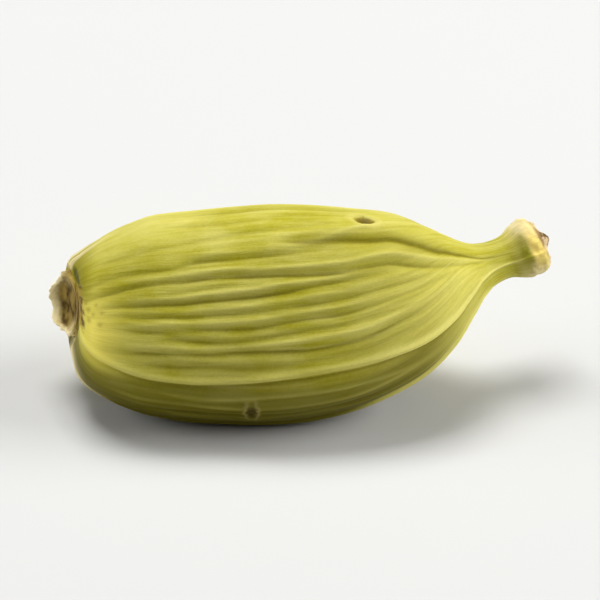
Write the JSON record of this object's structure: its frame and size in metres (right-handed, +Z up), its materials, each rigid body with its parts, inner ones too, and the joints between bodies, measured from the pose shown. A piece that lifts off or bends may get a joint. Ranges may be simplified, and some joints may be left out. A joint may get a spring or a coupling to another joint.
{
  "type": "green cardamom pod",
  "caption": "Dried three-sided ribbed seed pod lying on one side, with a blunt end carrying a withered flower cup and a drawn-in neck with a swollen stalk stub.",
  "frame": {"origin": "bottom centre of the pod's bounding box, on the surface it lies on", "axes": "+X along the pod from the blunt flower end to the stalk, +Z up, -Y towards the broad side that faces the viewer"},
  "size_m": [0.019, 0.0082, 0.0076],
  "materials": {
    "husk_skin": "satin",
    "stalk": "matte",
    "dry_flower": "matte"
  },
  "bodies": {
    "root": {"husk": "husk_skin", "stalk_stub": "stalk", "flower_remnant": "dry_flower"}
  },
  "joints": []
}
